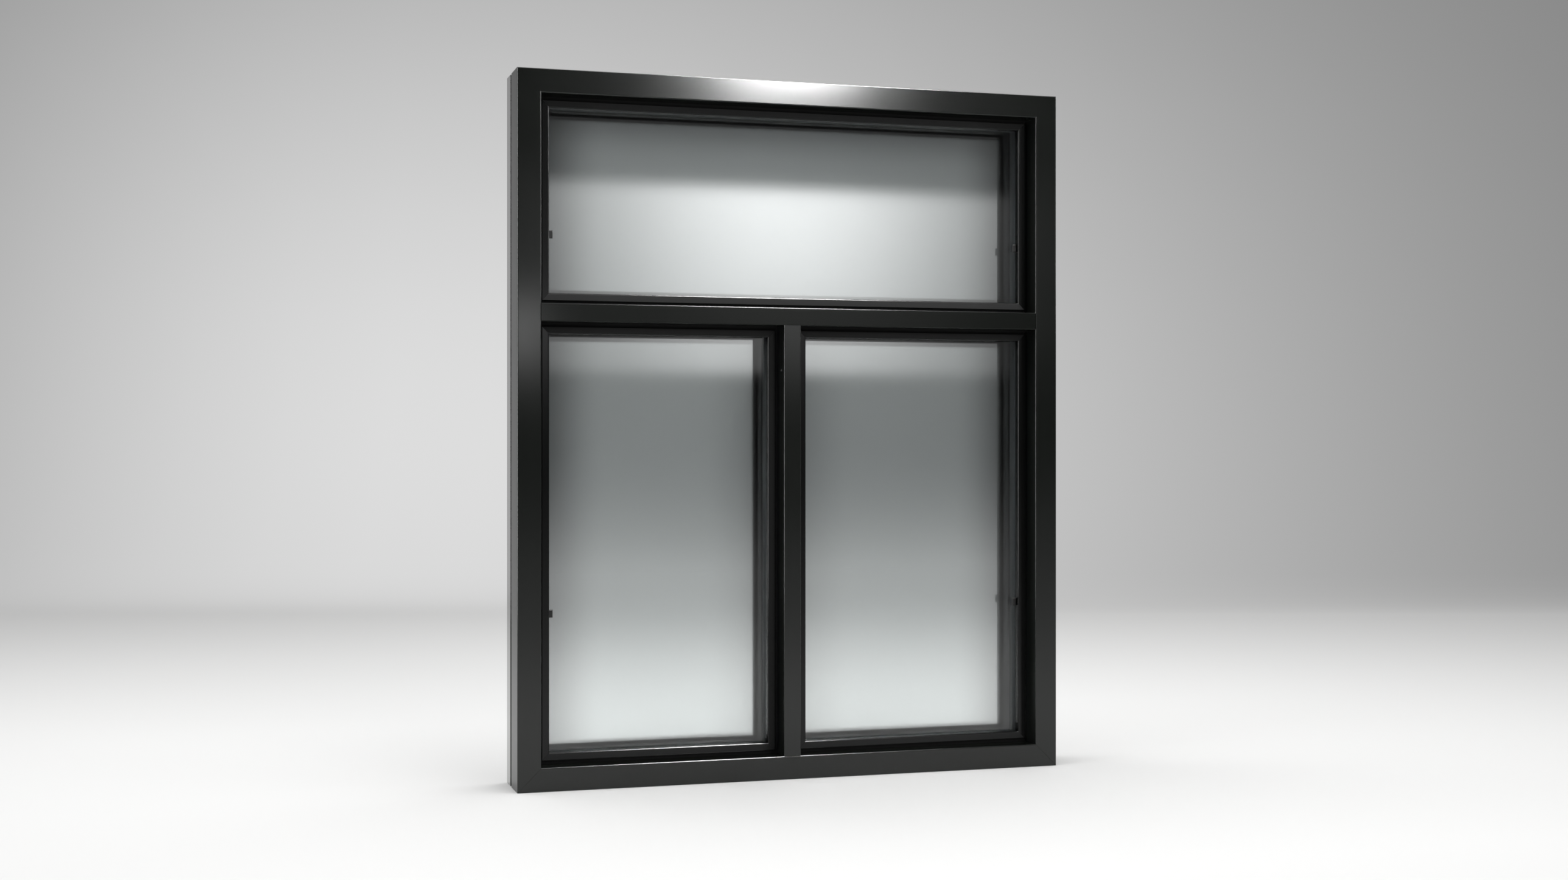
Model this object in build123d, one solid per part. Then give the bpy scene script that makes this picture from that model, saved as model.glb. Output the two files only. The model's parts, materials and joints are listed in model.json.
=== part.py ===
# Explosion-proof window: a deep steel frame with one wide fixed light over two lower lights.
# Millimetres. X runs along the width, -Y is the front, Z is up.
# The origin is the middle of the bottom of the frame.
from build123d import *
import os

# Overall size
frame_width = 1212.0
frame_height = 1500.0

# Depth of each layer, from the front face to the back face
front_section_depth = 80.0
seal_gap = 12.0
rear_section_depth = 48.0

# Faces of the members, as seen from the front
perimeter_face = 50.0
crossbar_face = 38.0
section_radius = 2.0

# Where the crossbars stand
lower_light_height = 926.0
left_light_width = 525.0

# Strip that parts the front frame from the rear frame
seal_set_back = 6.0

# Front glazing bead: a foot against the reveal and an upstand past a shadow groove
reveal_depth = 42.0
bead_depth = 15.0
bead_width = 24.0
shadow_groove_width = 8.0
shadow_groove_depth = 9.0
bead_inner_radius = 3.0
bead_outer_radius = 1.2

# Channel gaskets that wrap the edges of the panes
gasket_thickness = 3.0
gasket_edge_gap = 3.0
front_gasket_cover = 22.5
liner_gasket_cover = 18.5
rear_gasket_cover = 34.5

# Panes
front_pane_thickness = 12.0
rear_pane_thickness = 10.0
pane_arris = 0.8

# Steel liner between the two panes
liner_depth = 30.0
liner_height = 20.0
liner_radius = 2.0

# Flat beads that hold the rear panes
rear_bead_width = 36.0
rear_bead_depth = 12.0
rear_bead_radius = 2.0

# Small retaining clips at the outer edges of the front panes
clip_width = 9.0
clip_height = 17.0
clip_depth = 7.0
clip_radius = 1.5
clip_height_ratio = 0.34

# Hairline left at each mitre
mitre_gap = 0.3

# Depths worked out from the sizes above, measured back from the front face
frame_depth = front_section_depth + seal_gap + rear_section_depth
rear_section_front = front_section_depth + seal_gap
bead_front = reveal_depth
bead_back = bead_front + bead_depth
front_pane_front = bead_back + gasket_thickness
front_pane_back = front_pane_front + front_pane_thickness
liner_front = front_pane_back + gasket_thickness
liner_back = liner_front + liner_depth
rear_pane_front = liner_back + gasket_thickness
rear_pane_back = rear_pane_front + rear_pane_thickness
rear_bead_front = rear_pane_back + gasket_thickness
rear_bead_back = rear_bead_front + rear_bead_depth
pane_edge = gasket_edge_gap + gasket_thickness

# Edges of the frame and of the three lights
frame_left = -frame_width / 2
frame_right = frame_width / 2
inner_left = frame_left + perimeter_face
inner_right = frame_right - perimeter_face
inner_bottom = perimeter_face
inner_top = frame_height - perimeter_face
transom_bottom = inner_bottom + lower_light_height
transom_top = transom_bottom + crossbar_face
mullion_left = inner_left + left_light_width
mullion_right = mullion_left + crossbar_face

frame_outline = (frame_left, 0.0, frame_right, frame_height)
lights = {
    "upper": (inner_left, transom_top, inner_right, inner_top),
    "lower_left": (inner_left, inner_bottom, mullion_left, transom_bottom),
    "lower_right": (mullion_right, inner_bottom, inner_right, transom_bottom),
}
side_names = ("bottom", "right", "top", "left")


def depth_to_y(depth):
    """World Y of a depth behind the front face."""
    return depth - frame_depth / 2


def section(depth_from, depth_to, inset_from, inset_to):
    """Rectangle of a bar's cross-section: depth behind the front face by inset from the edge."""
    middle = (depth_to_y((depth_from + depth_to) / 2), (inset_from + inset_to) / 2)
    return Pos(*middle) * Rectangle(depth_to - depth_from, inset_to - inset_from)


def rounded_section(depth_from, depth_to, inset_from, inset_to, radius):
    """The same rectangle with all four corners rounded."""
    flat = section(depth_from, depth_to, inset_from, inset_to)
    return fillet(flat.vertices(), radius)


def round_corner(profile, depth, inset, radius):
    """Round the one corner of a profile that lies at this depth and inset."""
    corner = Vector(depth_to_y(depth), inset, 0)
    nearest = min(profile.vertices(), key=lambda vertex: (Vector(vertex) - corner).length)
    return fillet(nearest, radius)


def mitred_bar(profile, length, gap):
    """Bar along X with its outer edge at Z = 0 and both ends cut at 45 degrees."""
    reach = profile.bounding_box().max.Y
    setback = gap / 2 * 2 ** 0.5
    blank = extrude(Plane.YZ * profile, length)
    trapezoid = Polygon(
        (setback, 0),
        (length - setback, 0),
        (length - setback - reach, reach),
        (setback + reach, reach),
        align=None,
    )
    cutter = extrude(Plane.XZ * trapezoid, frame_depth, both=True)
    return blank & cutter


def ring_bars(profile, outline, gap):
    """Four mitred bars that follow a rectangle, keyed by side, with the profile facing inward."""
    left, bottom, right, top = outline
    width = right - left
    height = top - bottom
    placings = (
        (left, bottom, 0, width),
        (right, bottom, -90, height),
        (right, top, 180, width),
        (left, top, 90, height),
    )
    bars = {}
    for side, (x, z, turn, length) in zip(side_names, placings):
        bars[side] = Pos(x, 0, z) * Rot(0, turn, 0) * mitred_bar(profile, length, gap)
    return bars


def closed_ring(profile, outline):
    """The four bars of a rectangle joined at their mitres into one piece."""
    bars = ring_bars(profile, outline, 0)
    return bars["bottom"] + bars["right"] + bars["top"] + bars["left"]


def crossbar(profile, start, length, upright):
    """Square-ended bar with its lower or left edge starting at a point of the front view."""
    x, z = start
    bar = extrude(Plane.YZ * profile, length)
    if upright:
        bar = Pos(0, 0, length) * Rot(0, 90, 0) * bar
    return Pos(x, 0, z) * bar


def write(name, *solids):
    """Write the solids of one node."""
    shape = solids[0] if len(solids) == 1 else Compound(children=list(solids))
    export_step(shape, f"parts/{name}.step")


# Frames

def write_frame(layer, depth_from, depth_to):
    """Mitred box sections round the edge, with a transom and a mullion between them."""
    edge = rounded_section(depth_from, depth_to, 0, perimeter_face, section_radius)
    bars = ring_bars(edge, frame_outline, mitre_gap)
    write(f"{layer}_sill", bars["bottom"])
    write(f"{layer}_right_jamb", bars["right"])
    write(f"{layer}_head", bars["top"])
    write(f"{layer}_left_jamb", bars["left"])

    inner = rounded_section(depth_from, depth_to, 0, crossbar_face, section_radius)
    transom_length = inner_right - inner_left
    transom = crossbar(inner, (inner_left, transom_bottom), transom_length, False)
    mullion = crossbar(inner, (mullion_left, inner_bottom), lower_light_height, True)
    write(f"{layer}_transom", transom)
    write(f"{layer}_mullion", mullion)


def write_frame_seal():
    """One black strip behind every member of the front frame, set back from their faces."""
    edge = section(front_section_depth, rear_section_front, seal_set_back, perimeter_face)
    inner = section(front_section_depth, rear_section_front, 0, crossbar_face)
    transom_length = inner_right - inner_left
    transom = crossbar(inner, (inner_left, transom_bottom), transom_length, False)
    mullion = crossbar(inner, (mullion_left, inner_bottom), lower_light_height, True)
    write("frame_seal", closed_ring(edge, frame_outline) + transom + mullion)


# Glazing

def front_bead_profile():
    """Bead with a foot on the reveal, a shadow groove and a rounded sight edge."""
    groove_floor = bead_front + shadow_groove_depth
    profile = section(bead_front, bead_back, 0, bead_width)
    profile -= section(bead_front, groove_floor, 0, shadow_groove_width)
    profile = round_corner(profile, bead_front, bead_width, bead_inner_radius)
    return round_corner(profile, bead_front, shadow_groove_width, bead_outer_radius)


def channel_gasket(pane_front, pane_back, front_cover, back_cover):
    """U-shaped profile round the edge of a pane, with a leg on each face of the glass."""
    front = section(pane_front - gasket_thickness, pane_front, gasket_edge_gap, front_cover)
    back = section(pane_back, pane_back + gasket_thickness, gasket_edge_gap, back_cover)
    web = section(pane_front, pane_back, gasket_edge_gap, pane_edge)
    return front + web + back


def pane(outline, depth_from, depth_to):
    """Sheet of laminated glass with softened edges."""
    left, bottom, right, top = outline
    width = right - left - 2 * pane_edge
    height = top - bottom - 2 * pane_edge
    middle = depth_to_y((depth_from + depth_to) / 2)
    sheet = Pos((left + right) / 2, middle, (bottom + top) / 2) * Box(width, depth_to - depth_from, height)
    return chamfer(sheet.edges(), pane_arris)


def write_glazing(light, outline):
    """Every piece of one light, from the front bead to the rear bead."""
    for side, bar in ring_bars(front_bead_profile(), outline, mitre_gap).items():
        write(f"{light}_{side}_bead", bar)

    front_channel = channel_gasket(front_pane_front, front_pane_back, front_gasket_cover, liner_gasket_cover)
    write(f"{light}_front_gasket", closed_ring(front_channel, outline))
    write(f"{light}_front_pane", pane(outline, front_pane_front, front_pane_back))

    liner = rounded_section(liner_front, liner_back, 0, liner_height, liner_radius)
    write(f"{light}_cavity_liner", closed_ring(liner, outline))

    rear_channel = channel_gasket(rear_pane_front, rear_pane_back, liner_gasket_cover, rear_gasket_cover)
    write(f"{light}_rear_gasket", closed_ring(rear_channel, outline))
    write(f"{light}_rear_pane", pane(outline, rear_pane_front, rear_pane_back))

    rear_bead = rounded_section(rear_bead_front, rear_bead_back, 0, rear_bead_width, rear_bead_radius)
    write(f"{light}_rear_bead", *ring_bars(rear_bead, outline, mitre_gap).values())


def glazing_clip(outline, side):
    """Small block in the corner between a bead and the front of its pane."""
    left, bottom, right, top = outline
    reach = bead_width + clip_width / 2
    x = left + reach if side == "left" else right - reach
    z = bottom + clip_height_ratio * (top - bottom)
    y = depth_to_y(front_pane_front) - clip_depth / 2
    block = Pos(x, y, z) * Box(clip_width, clip_depth, clip_height)
    front_edges = block.faces().sort_by(Axis.Y)[0].edges()
    return fillet(front_edges, clip_radius)


os.makedirs("parts", exist_ok=True)
write_frame("front", 0, front_section_depth)
write_frame("rear", rear_section_front, frame_depth)
write_frame_seal()
for light, outline in lights.items():
    write_glazing(light, outline)
write(
    "glazing_clips",
    glazing_clip(lights["upper"], "left"),
    glazing_clip(lights["upper"], "right"),
    glazing_clip(lights["lower_left"], "left"),
    glazing_clip(lights["lower_right"], "right"),
)
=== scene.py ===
import json
import math
import bmesh
import bpy
from mathutils import Matrix, Vector


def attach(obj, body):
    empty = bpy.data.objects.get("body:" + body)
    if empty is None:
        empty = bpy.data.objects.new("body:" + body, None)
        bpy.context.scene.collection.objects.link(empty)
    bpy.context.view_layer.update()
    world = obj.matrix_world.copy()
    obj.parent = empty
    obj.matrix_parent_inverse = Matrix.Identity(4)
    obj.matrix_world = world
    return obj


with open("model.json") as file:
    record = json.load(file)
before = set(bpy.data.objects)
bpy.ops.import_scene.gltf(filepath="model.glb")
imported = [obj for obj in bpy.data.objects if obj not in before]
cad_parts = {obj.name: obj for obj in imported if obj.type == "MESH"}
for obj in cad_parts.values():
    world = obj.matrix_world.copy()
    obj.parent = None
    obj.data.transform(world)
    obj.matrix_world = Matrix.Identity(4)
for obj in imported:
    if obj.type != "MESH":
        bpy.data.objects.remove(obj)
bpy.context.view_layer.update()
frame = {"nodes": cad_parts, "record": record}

nodes = frame["nodes"]
lightNames = ("upper", "lower_left", "lower_right")
print("frame loaded:", len(nodes), "nodes")


# Node helpers

noiseSpan = {"low": 0.3, "high": 0.7}        # nearly all noise values lie between these


def newMaterial(name):
    material = bpy.data.materials.new(name)
    material.use_nodes = True
    return material, material.node_tree, material.node_tree.nodes["Principled BSDF"]


def addNode(tree, kind, **values):
    node = tree.nodes.new(kind)
    for key, value in values.items():
        if key in node.inputs:
            node.inputs[key].default_value = value
        else:
            setattr(node, key, value)
    return node


def objectNoise(tree, scale, detail):
    coords = addNode(tree, "ShaderNodeTexCoord")
    noise = addNode(tree, "ShaderNodeTexNoise", Scale=scale, Detail=detail)
    tree.links.new(coords.outputs["Object"], noise.inputs["Vector"])
    return noise.outputs["Fac"]


def remap(tree, source, low, high):
    ranger = addNode(tree, "ShaderNodeMapRange")
    ranger.inputs["From Min"].default_value = noiseSpan["low"]
    ranger.inputs["From Max"].default_value = noiseSpan["high"]
    ranger.inputs["To Min"].default_value = low
    ranger.inputs["To Max"].default_value = high
    tree.links.new(source, ranger.inputs["Value"])
    return ranger.outputs["Result"]


def blendColours(tree, source, first, second):
    ramp = addNode(tree, "ShaderNodeValToRGB")
    ramp.color_ramp.elements[0].position = noiseSpan["low"]
    ramp.color_ramp.elements[0].color = (*first, 1)
    ramp.color_ramp.elements[1].position = noiseSpan["high"]
    ramp.color_ramp.elements[1].color = (*second, 1)
    tree.links.new(source, ramp.inputs["Fac"])
    return ramp.outputs["Color"]


def bumpFrom(tree, source, strength, distance):
    bump = addNode(tree, "ShaderNodeBump", Strength=strength, Distance=distance)
    tree.links.new(source, bump.inputs["Height"])
    return bump.outputs["Normal"]


# Finishes

powderCoat = {
    "dark": (0.0044, 0.0055, 0.0044), "light": (0.0060, 0.0073, 0.0060),
    "cloudScale": 5.0, "cloudDetail": 4.0,
    "grainScale": 850.0, "grainDetail": 2.0, "grainDepth": 0.00002, "grainStrength": 0.012,
    "roughLow": 0.130, "roughHigh": 0.145, "index": 1.50, "roughAxis": "X", "faceRough": 0.15,
    "coatWeight": 0.0,
}
transomCoat = dict(powderCoat, index=1.30)
rearCoat = dict(powderCoat, roughLow=0.080, roughHigh=0.095, index=1.35,
                roughAxis="Y", faceRough=0.20, coatWeight=0.75)
beadCoat = dict(powderCoat, dark=(0.0022, 0.0024, 0.0023), light=(0.0032, 0.0035, 0.0034),
                roughLow=0.100, roughHigh=0.115, index=1.35, roughAxis="Y", faceRough=0.55)
sideBeadCoat = dict(beadCoat, faceRough=0.05)
linerCoat = dict(powderCoat, dark=(0.050, 0.056, 0.058), light=(0.060, 0.067, 0.069),
                 roughLow=0.50, roughHigh=0.60, faceRough=0.0)
gasketRubber = dict(powderCoat, dark=(0.0028, 0.0028, 0.0028), light=(0.0048, 0.0048, 0.0048),
                    cloudScale=30.0, grainScale=1600.0, grainDepth=0.00004, grainStrength=0.12,
                    roughLow=0.50, roughHigh=0.62, index=1.40, faceRough=0.0)
sealRubber = dict(gasketRubber, grainScale=1100.0, roughLow=0.66, roughHigh=0.80)
clipPlastic = dict(gasketRubber, dark=(0.008, 0.008, 0.008), light=(0.012, 0.012, 0.012),
                   roughLow=0.34, roughHigh=0.42)
screwSteel = dict(powderCoat, dark=(0.030, 0.030, 0.030), light=(0.045, 0.045, 0.045),
                  roughLow=0.22, roughHigh=0.28, faceRough=0.0)
flatSpan = {"start": 0.94, "full": 0.99}        # how square to the axis a face is


def flatFaces(tree, axis, amount, base):
    # flat faces square to one axis get a rougher coat than their rounded edges and the other faces
    geometry = addNode(tree, "ShaderNodeNewGeometry")
    split = addNode(tree, "ShaderNodeSeparateXYZ")
    square = addNode(tree, "ShaderNodeMath", operation="ABSOLUTE")
    facing = addNode(tree, "ShaderNodeMapRange")
    facing.inputs["From Min"].default_value = flatSpan["start"]
    facing.inputs["From Max"].default_value = flatSpan["full"]
    facing.inputs["To Max"].default_value = amount
    total = addNode(tree, "ShaderNodeMath", operation="ADD")
    tree.links.new(geometry.outputs["Normal"], split.inputs["Vector"])
    tree.links.new(split.outputs[axis], square.inputs[0])
    tree.links.new(square.outputs["Value"], facing.inputs["Value"])
    tree.links.new(facing.outputs["Result"], total.inputs[0])
    tree.links.new(base, total.inputs[1])
    return total.outputs["Value"]


def coatMaterial(name, look):
    material, tree, shader = newMaterial(name)
    cloud = objectNoise(tree, look["cloudScale"], look["cloudDetail"])
    grain = objectNoise(tree, look["grainScale"], look["grainDetail"])
    bump = bumpFrom(tree, grain, look["grainStrength"], look["grainDepth"])
    rough = remap(tree, cloud, look["roughLow"], look["roughHigh"])
    if look["faceRough"]:
        rough = flatFaces(tree, look["roughAxis"], look["faceRough"], rough)
    colour = blendColours(tree, cloud, look["dark"], look["light"])
    tree.links.new(colour, shader.inputs["Base Color"])
    tree.links.new(rough, shader.inputs["Roughness"])
    tree.links.new(bump, shader.inputs["Normal"])
    shader.inputs["IOR"].default_value = look["index"]
    shader.inputs["Coat Weight"].default_value = look["coatWeight"]
    shader.inputs["Coat Roughness"].default_value = look["roughLow"]
    shader.inputs["Coat IOR"].default_value = look["index"]
    return material


# the front panes are plain laminated glass, the rear panes are frosted under a half-mirror coat
clearGlass = {
    "dark": (0.960, 0.972, 0.972), "light": (0.970, 0.982, 0.982), "cloudScale": 1.5, "cloudDetail": 2.0,
    "rough": 0.0, "index": 1.47,
}
mirrorGlass = {
    "dark": (0.505, 0.540, 0.538), "light": (0.535, 0.570, 0.568), "cloudScale": 2.5, "cloudDetail": 3.0,
    "roughLow": 0.44, "roughHigh": 0.50, "index": 1.30, "coatIndex": 4.0, "coatRough": 0.05,
    "sideReach": 0.15, "topReach": 0.11, "footReach": 0.36,
}
paintedPaneShading = {        # painted shade and light: each rear pane's colour is scaled at each edge, below 1 as painted shade from the frame, above 1 at the foot as painted light
    "upper": {"left": 0.18, "right": 0.24, "top": 0.40, "foot": 1.0},
    "lower_left": {"left": 0.20, "right": 0.62, "top": 1.0, "foot": 1.6},
    "lower_right": {"left": 0.62, "right": 0.26, "top": 1.0, "foot": 1.5},
}


def nodeBox(name):
    corners = [nodes[name].matrix_world @ Vector(corner) for corner in nodes[name].bound_box]
    low = Vector([min(corner[axis] for corner in corners) for axis in range(3)])
    high = Vector([max(corner[axis] for corner in corners) for axis in range(3)])
    return low, high


def clearGlassMaterial(name, look):
    material, tree, shader = newMaterial(name)
    cloud = objectNoise(tree, look["cloudScale"], look["cloudDetail"])
    colour = blendColours(tree, cloud, look["dark"], look["light"])
    tree.links.new(colour, shader.inputs["Base Color"])
    shader.inputs["Roughness"].default_value = look["rough"]
    shader.inputs["IOR"].default_value = look["index"]
    shader.inputs["Transmission Weight"].default_value = 1.0
    return material


# painted shade or light near one edge: the colour share goes from a given value at the edge to full a little
# inward; below 1 is painted shade, above 1 painted light
def paintedEdgeShading(tree, coordinate, edge, inward, weakest):
    paintedShading = addNode(tree, "ShaderNodeMapRange", interpolation_type="SMOOTHSTEP")
    paintedShading.inputs["From Min"].default_value = edge
    paintedShading.inputs["From Max"].default_value = edge + inward
    paintedShading.inputs["To Min"].default_value = weakest
    paintedShading.inputs["To Max"].default_value = 1.0
    tree.links.new(coordinate, paintedShading.inputs["Value"])
    return paintedShading.outputs["Result"]


def multiply(tree, first, second):
    product = addNode(tree, "ShaderNodeMath", operation="MULTIPLY")
    tree.links.new(first, product.inputs[0])
    tree.links.new(second, product.inputs[1])
    return product.outputs["Value"]


def mirrorGlassMaterial(name, look, lightName):
    material, tree, shader = newMaterial(name)
    cloud = objectNoise(tree, look["cloudScale"], look["cloudDetail"])
    low, high = nodeBox(f"{lightName}_rear_pane")
    paneShading = paintedPaneShading[lightName]
    coords = addNode(tree, "ShaderNodeTexCoord")
    place = addNode(tree, "ShaderNodeSeparateXYZ")
    tree.links.new(coords.outputs["Object"], place.inputs["Vector"])
    left = paintedEdgeShading(tree, place.outputs["X"], low.x, look["sideReach"], paneShading["left"])
    right = paintedEdgeShading(tree, place.outputs["X"], high.x, -look["sideReach"], paneShading["right"])
    top = paintedEdgeShading(tree, place.outputs["Z"], high.z, -look["topReach"], paneShading["top"])
    foot = paintedEdgeShading(tree, place.outputs["Z"], low.z, look["footReach"], paneShading["foot"])
    # painted shade at the sides and top and painted light at the foot, multiplied into the pane's colour
    paintedShading = multiply(tree, multiply(tree, left, right), multiply(tree, top, foot))
    shadedColour = addNode(tree, "ShaderNodeVectorMath", operation="SCALE")
    tree.links.new(blendColours(tree, cloud, look["dark"], look["light"]), shadedColour.inputs[0])
    tree.links.new(paintedShading, shadedColour.inputs["Scale"])
    tree.links.new(shadedColour.outputs["Vector"], shader.inputs["Base Color"])
    tree.links.new(remap(tree, cloud, look["roughLow"], look["roughHigh"]), shader.inputs["Roughness"])
    shader.inputs["IOR"].default_value = look["index"]
    shader.inputs["Transmission Weight"].default_value = 1.0
    shader.inputs["Coat Weight"].default_value = 1.0
    shader.inputs["Coat Roughness"].default_value = look["coatRough"]
    shader.inputs["Coat IOR"].default_value = look["coatIndex"]
    return material


finishes = {
    "frame_coating": coatMaterial("satinBlackPowderCoat", powderCoat),
    "bead_coating": coatMaterial("satinBlackBeadCoat", beadCoat),
    "liner_coating": coatMaterial("mattGreyLinerCoat", linerCoat),
    "seal_rubber": coatMaterial("blackSealRubber", sealRubber),
    "gasket_rubber": coatMaterial("blackGasketRubber", gasketRubber),
    "clip_plastic": coatMaterial("blackClipPlastic", clipPlastic),
    "clear_glass": clearGlassMaterial("clearLaminatedGlass", clearGlass),
}
for lightName in lightNames:        # each rear pane gets its own painted shade at its edges and painted light at its foot
    glassName = f"{lightName}HalfMirrorGlass"
    finishes[f"{lightName}_rear_pane"] = mirrorGlassMaterial(glassName, mirrorGlass, lightName)
smoothBeadCoat = coatMaterial("smoothBlackBeadCoat", sideBeadCoat)
for bead in ("upper_left", "upper_right", "lower_left_left", "lower_right_left", "lower_right_right"):
    finishes[f"{bead}_bead"] = smoothBeadCoat
finishes["front_transom"] = coatMaterial("dullBlackTransomCoat", transomCoat)
smoothRearCoat = coatMaterial("smoothBlackRearCoat", rearCoat)
for member in ("head", "sill", "left_jamb", "right_jamb", "transom", "mullion"):
    finishes[f"rear_{member}"] = smoothRearCoat
for subpart in frame["record"]["subparts"]:
    node = nodes[subpart["node"]]
    node.data.materials.clear()
    node.data.materials.append(finishes.get(subpart["node"]) or finishes[subpart["material_slot"]])
print("finishes on the frame pieces")


# Screws

screwFinish = coatMaterial("blackenedScrewSteel", screwSteel)


def newVerts(result):
    return [item for item in result["geom"] if isinstance(item, bmesh.types.BMVert)]


def addScrew(mesh, look, place, facing):
    start = set(mesh.verts)
    bmesh.ops.create_circle(mesh, cap_ends=True, segments=look["segments"], radius=look["radius"])
    disc = [face for face in mesh.faces if not start.intersection(face.verts)]
    raised = bmesh.ops.extrude_face_region(mesh, geom=disc)
    bmesh.ops.translate(mesh, verts=newVerts(raised), vec=(0, 0, look["height"]))
    crown = [item for item in raised["geom"] if isinstance(item, bmesh.types.BMFace)][0]
    bmesh.ops.bevel(mesh, geom=crown.edges[:], offset=look["crown"], affect="EDGES",
                    segments=look["crownSegments"], profile=0.5, material=-1)
    top = max((face for face in mesh.faces if not start.intersection(face.verts)),
              key=lambda face: (round(face.calc_center_median().z, 6), face.calc_area()))
    rim = look["radius"] - look["crown"] - look["socketRadius"]
    bmesh.ops.inset_individual(mesh, faces=[top], thickness=rim)
    for vert in top.verts:        # the inner ring becomes a hexagon
        angle = math.atan2(vert.co.y, vert.co.x)
        offAxis = (angle + math.pi / 6) % (math.pi / 3) - math.pi / 6
        reach = look["socketRadius"] * math.cos(math.pi / 6) / math.cos(offAxis)
        vert.co.x, vert.co.y = reach * math.cos(angle), reach * math.sin(angle)
    sunk = bmesh.ops.extrude_face_region(mesh, geom=[top])
    bmesh.ops.translate(mesh, verts=newVerts(sunk), vec=(0, 0, -look["socketDepth"]))
    screw = [vert for vert in mesh.verts if vert not in start]
    bmesh.ops.translate(mesh, verts=screw, vec=(0, 0, -look["sink"]))
    turned = Vector((0, 0, 1)).rotation_difference(Vector(facing)).to_matrix()
    bmesh.ops.rotate(mesh, verts=screw, matrix=turned)
    bmesh.ops.translate(mesh, verts=screw, vec=place)


def finishPiece(mesh, name, material):
    bmesh.ops.recalc_face_normals(mesh, faces=mesh.faces)
    data = bpy.data.meshes.new(name)
    mesh.to_mesh(data)
    mesh.free()
    piece = bpy.data.objects.new(name, data)
    bpy.context.scene.collection.objects.link(piece)
    piece.data.materials.append(material)
    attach(piece, "root")


beadScrew = {
    "radius": 0.0050, "height": 0.0026, "crown": 0.0009, "crownSegments": 3, "segments": 24, "sink": 0.0002,
    "socketRadius": 0.0024, "socketDepth": 0.0014, "spacing": 0.165, "endInset": 0.060, "cornerMargin": 0.020,
}


def evenSteps(start, end, spacing):
    count = max(round((end - start) / spacing), 1)
    return [start + (end - start) * step / count for step in range(count + 1)]


def rearBeadWidth(look, lightName):
    # the bead's inner edge is its vertex nearest the middle of the light, away from the corners
    bead = nodes[f"{lightName}_rear_bead"]
    low, high = nodeBox(bead.name)
    centre = (low + high) / 2
    halfHeight = (high.z - low.z) / 2 - look["cornerMargin"]
    points = [bead.matrix_world @ vert.co for vert in bead.data.vertices]
    inner = min(abs(point.x - centre.x) for point in points if abs(point.z - centre.z) < halfHeight)
    return (high.x - low.x) / 2 - inner


def rearBeadScrews(look):
    mesh = bmesh.new()
    for lightName in lightNames:
        low, high = nodeBox(f"{lightName}_rear_bead")
        middle = rearBeadWidth(look, lightName) / 2
        inset = look["endInset"]
        for x in evenSteps(low.x + inset, high.x - inset, look["spacing"]):
            for z in (low.z + middle, high.z - middle):
                addScrew(mesh, look, (x, high.y, z), (0, 1, 0))
        for z in evenSteps(low.z + inset, high.z - inset, look["spacing"]):
            for x in (low.x + middle, high.x - middle):
                addScrew(mesh, look, (x, high.y, z), (0, 1, 0))
    finishPiece(mesh, "rearBeadScrews", screwFinish)


revealScrew = dict(beadScrew, radius=0.0028, height=0.0013, crown=0.0005,
                   socketRadius=0.0012, socketDepth=0.0007, depth=0.020, z=0.880)


def mullionScrew(look):
    mesh = bmesh.new()
    low = nodeBox("front_mullion")[0]
    addScrew(mesh, look, (low.x, low.y + look["depth"], look["z"]), (-1, 0, 0))
    finishPiece(mesh, "mullionScrew", screwFinish)


rearBeadScrews(beadScrew)
mullionScrew(revealScrew)
print("screws made")


# Camera, at the photograph's angle

cameraPlace = {"x": -1.24794, "y": -4.09926, "z": 0.72975, "turn": math.radians(-16.8),
               "lens": 45.0, "sensor": 36.0, "clipEnd": 60.0}
cameraData = bpy.data.cameras.new("camera")
cameraData.lens = cameraPlace["lens"]
cameraData.sensor_width = cameraPlace["sensor"]
cameraData.clip_end = cameraPlace["clipEnd"]
camera = bpy.data.objects.new("camera", cameraData)
bpy.context.scene.collection.objects.link(camera)
camera.location = (cameraPlace["x"], cameraPlace["y"], cameraPlace["z"])
camera.rotation_euler = (math.radians(90), 0, cameraPlace["turn"])
bpy.context.scene.camera = camera
print("camera placed")


# Studio

studio = {
    "reach": 40.0, "wallDistance": 4.3, "sweepRadius": 1.4, "wallHeight": 7.0,
    "floorRows": (-21, -14, -10, -8, -7, -6.3, -5.6, -4.9, -4.2, -3.5, -2.8, -2.1, -1.4, -0.7, 0, 3.9),
    "arcSteps": 16, "wallSteps": 14, "columns": 160, "floorColour": (0.80, 0.80, 0.795, 1),
    "worldLevel": 0.39, "fadeCentre": 2.0, "fadeStart": 6.0, "fadeSpan": 12.0,
}
# painted pool of light on the wall: its glow is brightest around one spot and dimmer outwards
wallGlow = {
    "centreX": -1.67, "centreZ": 0.75, "edge": 0.20, "rise": 0.525,
    "spreadLeft": 2.2, "spreadRight": 3.15, "spreadZ": 2.05, "shareStart": 3.9, "shareSpan": 1.0,
}
# painted shade on the floor in front of the window, which the lower lights mirror
paintedFloorShade = {"start": 1.2, "span": 3.4, "tone": 0.45, "amount": 0.92}


def stageObject(mesh, name, material):
    data = bpy.data.meshes.new(name)
    mesh.to_mesh(data)
    mesh.free()
    obj = bpy.data.objects.new(name, data)
    bpy.context.scene.collection.objects.link(obj)
    obj.data.materials.append(material)
    return obj


def emptyMaterial(name):
    material, tree, shader = newMaterial(name)
    tree.nodes.clear()
    return material, tree


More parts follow.
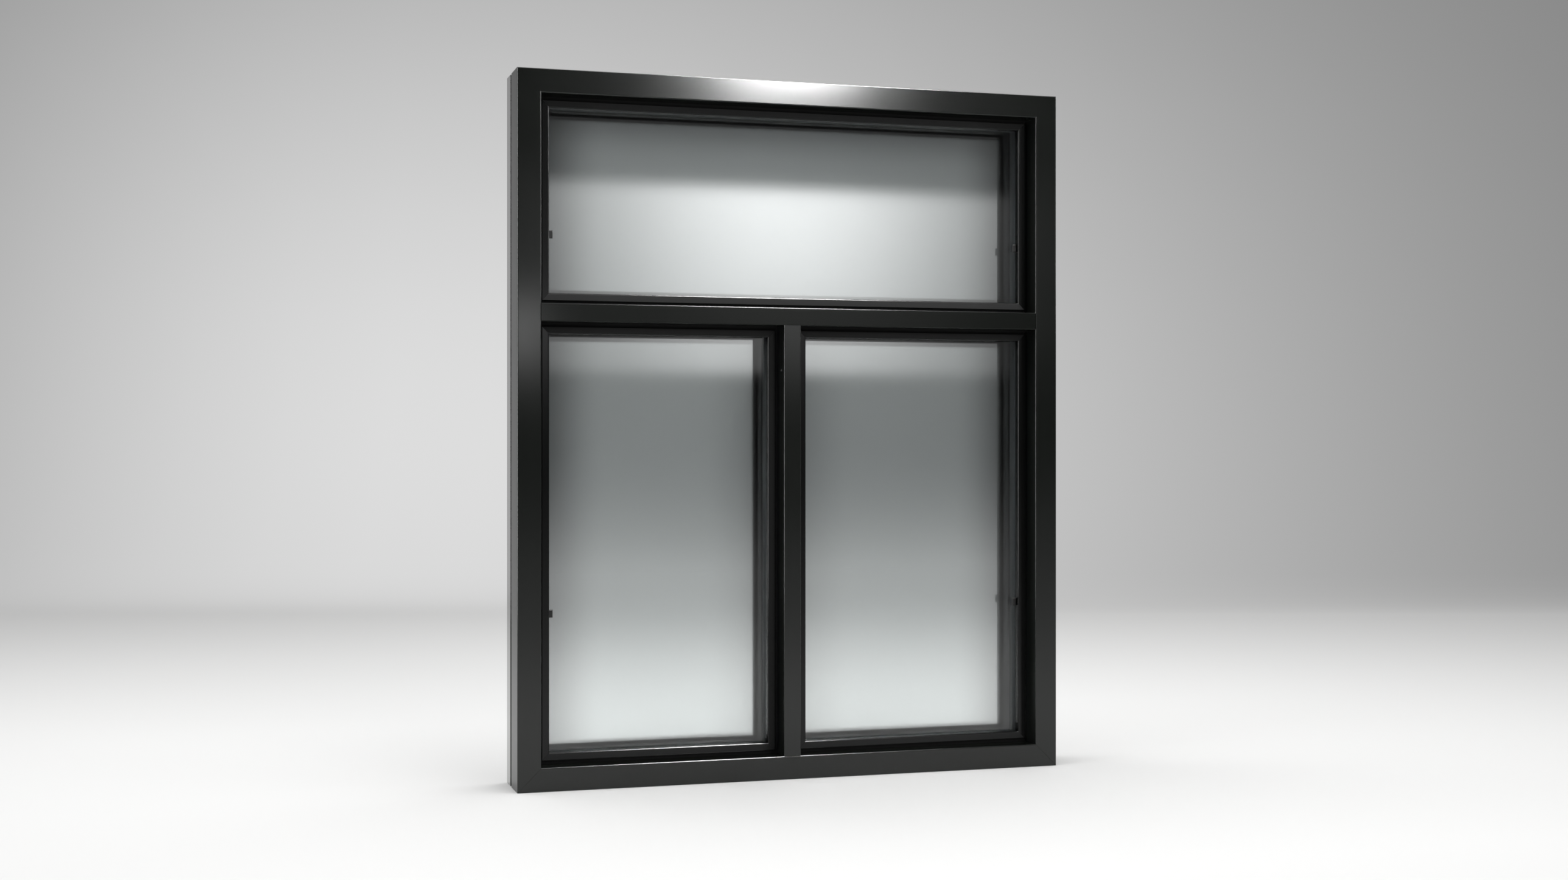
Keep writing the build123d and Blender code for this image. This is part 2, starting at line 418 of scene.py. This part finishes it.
def mixGlow(tree, share, other):
    # the share of the glow kept on the mesh, over another shader
    emission = addNode(tree, "ShaderNodeEmission")
    attribute = addNode(tree, "ShaderNodeAttribute", attribute_name="glow")
    mix = addNode(tree, "ShaderNodeMixShader")
    output = addNode(tree, "ShaderNodeOutputMaterial")
    tree.links.new(attribute.outputs["Fac"], emission.inputs["Strength"])
    tree.links.new(share, mix.inputs["Fac"])
    tree.links.new(other.outputs["BSDF"], mix.inputs[1])
    tree.links.new(emission.outputs["Emission"], mix.inputs[2])
    tree.links.new(mix.outputs["Shader"], output.inputs["Surface"])


def sweepMaterial(name):
    material, tree = emptyMaterial(name)
    diffuse = addNode(tree, "ShaderNodeBsdfDiffuse", Color=studio["floorColour"])
    share = addNode(tree, "ShaderNodeAttribute", attribute_name="share")
    mixGlow(tree, share.outputs["Fac"], diffuse)
    return material


def setAttribute(obj, name, formula):
    layer = obj.data.attributes.new(name, "FLOAT", "POINT")
    for vertex, value in zip(obj.data.vertices, layer.data):
        value.value = formula(vertex.co)


def smooth(value):
    value = min(max(value, 0.0), 1.0)
    return value * value * (3 - 2 * value)


def farAway(co):
    # far from the window the sheet takes the tone of the world, so no horizon shows
    distance = math.hypot(co.x, co.y - studio["fadeCentre"])
    return smooth((distance - studio["fadeStart"]) / studio["fadeSpan"])


def paintedShadeShare(co):
    # painted shade: the floor behind the camera glows at a darker tone in place of the lit floor, and the
    # lower lights mirror it
    if co.y >= 0:
        return 0
    turn = cameraPlace["turn"]
    forward = -(co.x * math.sin(turn) + co.y * math.cos(turn))
    return paintedFloorShade["amount"] * smooth((forward - paintedFloorShade["start"]) / paintedFloorShade["span"])


def sweepGlow(co):
    # painted pool of light: the wall glows brightest around its centre and dimmer outwards
    across = co.x - wallGlow["centreX"]
    across /= wallGlow["spreadRight"] if across > 0 else wallGlow["spreadLeft"]
    upward = (co.z - wallGlow["centreZ"]) / wallGlow["spreadZ"]
    glow = wallGlow["edge"] + wallGlow["rise"] * math.exp(-0.5 * (across * across + upward * upward))
    # painted shade: the darker tone on the floor in front of the window
    if paintedShadeShare(co):
        glow = paintedFloorShade["tone"]
    return glow + (studio["worldLevel"] - glow) * farAway(co)


def sweepShare(co):
    wallShare = smooth((co.y - wallGlow["shareStart"]) / wallGlow["shareSpan"])
    return max(wallShare, paintedShadeShare(co), farAway(co))


def sweepProfile(look):
    profile = [(y, 0) for y in (-look["reach"], *look["floorRows"], look["wallDistance"])]
    for step in range(1, look["arcSteps"] + 1):
        angle = math.pi / 2 * step / look["arcSteps"]
        profile.append((look["wallDistance"] + look["sweepRadius"] * math.sin(angle),
                        look["sweepRadius"] * (1 - math.cos(angle))))
    wallY = look["wallDistance"] + look["sweepRadius"]
    for step in range(1, look["wallSteps"] + 1):
        profile.append((wallY, look["sweepRadius"] + look["wallHeight"] * step / look["wallSteps"]))
    return profile


def studioSweep(look):
    # floor and wall are one sheet that curves up behind the window
    sheet = bmesh.new()
    rail = [sheet.verts.new((-look["reach"], y, z)) for y, z in sweepProfile(look)]
    row = [sheet.edges.new(pair) for pair in zip(rail, rail[1:])]
    columnWidth = 2 * look["reach"] / look["columns"]
    for column in range(look["columns"]):
        grown = bmesh.ops.extrude_edge_only(sheet, edges=row)
        bmesh.ops.translate(sheet, verts=newVerts(grown), vec=(columnWidth, 0, 0))
        edges = [item for item in grown["geom"] if isinstance(item, bmesh.types.BMEdge)]
        row = [edge for edge in edges if abs(edge.verts[0].co.x - edge.verts[1].co.x) < columnWidth / 2]
    bmesh.ops.recalc_face_normals(sheet, faces=sheet.faces)
    for face in sheet.faces:
        face.smooth = True
    sweep = stageObject(sheet, "studioSweep", sweepMaterial("studioSweepPaint"))
    setAttribute(sweep, "glow", sweepGlow)
    setAttribute(sweep, "share", sweepShare)
    sweep.data.transform(Matrix.Rotation(cameraPlace["turn"], 4, "Z"))


studioSweep(studio)
print("floor and wall made")

# Card with a soft box on it, in front of the window

card = {
    "distance": 6.5, "left": -12.0, "right": 14.0, "top": 10.0, "columns": 520, "rows": 250,
    "upperGlow": 0.042, "lowerGlow": 0.40, "lowerPower": 1.9,
}
mainBox = {
    "x": 1.95, "spread": 0.76, "low": 1.107, "high": 2.15, "lowPower": 0.84, "highPower": 2.02, "soft": 0.10,
}


def cardGlow(co):
    eye = cameraPlace["z"]
    glow = card["upperGlow"]
    if co.z < eye:
        glow += card["lowerGlow"] * ((eye - co.z) / eye) ** card["lowerPower"]
    across = math.exp(-0.5 * ((co.x - mainBox["x"]) / mainBox["spread"]) ** 2)
    body = smooth((co.z - mainBox["low"]) / mainBox["soft"] + 0.5)
    body *= smooth((mainBox["high"] - co.z) / mainBox["soft"] + 0.5)
    rise = min(max((co.z - mainBox["low"]) / (mainBox["high"] - mainBox["low"]), 0), 1)
    power = mainBox["lowPower"] + (mainBox["highPower"] - mainBox["lowPower"]) * rise
    return glow + power * across * body


def cardMaterial(name):
    # the card glows for a ray that has already met a glossy surface, and is clear to the rest
    material, tree = emptyMaterial(name)
    path = addNode(tree, "ShaderNodeLightPath")
    mirrored = addNode(tree, "ShaderNodeMath", operation="GREATER_THAN")
    mirrored.inputs[1].default_value = 0.5
    tree.links.new(path.outputs["Glossy Depth"], mirrored.inputs[0])
    mixGlow(tree, mirrored.outputs["Value"], addNode(tree, "ShaderNodeBsdfTransparent"))
    material.cycles.emission_sampling = "NONE"
    return material


def softboxCard(look):
    mesh = bmesh.new()
    width = look["right"] - look["left"]
    middle = (look["right"] + look["left"]) / 2
    bmesh.ops.create_grid(mesh, x_segments=look["columns"], y_segments=look["rows"], size=0.5)
    bmesh.ops.rotate(mesh, verts=mesh.verts, matrix=Matrix.Rotation(math.radians(90), 3, "X"))
    bmesh.ops.scale(mesh, verts=mesh.verts, vec=(width, 1, look["top"]))
    bmesh.ops.translate(mesh, verts=mesh.verts, vec=(middle, -look["distance"], look["top"] / 2))
    board = stageObject(mesh, "softboxCard", cardMaterial("softboxGlow"))
    setAttribute(board, "glow", cardGlow)
    board.visible_camera = False
    board.visible_diffuse = False
    board.visible_shadow = False


softboxCard(card)
print("softbox card made")


# Lamps

def areaLamp(name, look):
    data = bpy.data.lights.new(name, "AREA")
    data.shape = "RECTANGLE"
    data.size, data.size_y = look["size"]
    data.energy = look["power"]
    lamp = bpy.data.objects.new(name, data)
    bpy.context.scene.collection.objects.link(lamp)
    lamp.location = look["place"]
    aim = Vector(look["target"]) - Vector(look["place"])
    lamp.rotation_euler = aim.to_track_quat("-Z", "Y").to_euler()
    lamp.visible_diffuse = look["lights"]
    lamp.visible_glossy = look["shines"]
    lamp.visible_transmission = False


# a lamp that lights gives soft light, one that shines is seen as a highlight on the coat
lamps = {
    "topLamp": {"place": (-0.25, 0.1, 4.4), "target": (-0.25, 0, 0), "size": (4.5, 3.5), "power": 205.0,
                "lights": True, "shines": True},
    "frontLamp": {"place": (1.3, -4.6, 3.6), "target": (0.4, -0.6, 0), "size": (3.0, 2.0), "power": 62.0,
                  "lights": True, "shines": False},
    "leftLamp": {"place": (-4.5, -1.5, 1.4), "target": (0, 0, 1.0), "size": (0.6, 3.0), "power": 170.0,
                 "lights": False, "shines": True},
    "rightLamp": {"place": (4.5, -1.6, 2.0), "target": (0, 0, 1.0), "size": (0.5, 1.4), "power": 75.0,
                  "lights": False, "shines": True},
    "headLamp": {"place": (1.84, -6.1, 2.80), "target": (0, 0, 1.48), "size": (0.64, 0.15), "power": 54.0,
                 "lights": False, "shines": True},
    "jambLamp": {"place": (0.38, -6.1, 1.29), "target": (-0.58, 0, 1.0), "size": (0.18, 0.28), "power": 1.30,
                 "lights": False, "shines": True},
    "arrisLamp": {"place": (1.05, -1.5, 4.5), "target": (-0.1, 0, 0.9), "size": (0.6, 1.2), "power": 620.0,
                  "lights": False, "shines": True},
}
for lampName, look in lamps.items():
    areaLamp(lampName, look)

world = bpy.data.worlds.new("studioWorld")
bpy.context.scene.world = world
world.use_nodes = True
background = world.node_tree.nodes["Background"]
background.inputs["Color"].default_value = (1, 1, 1, 1)
background.inputs["Strength"].default_value = studio["worldLevel"]
bpy.context.scene.view_settings.view_transform = "Standard"
print("studio lit")
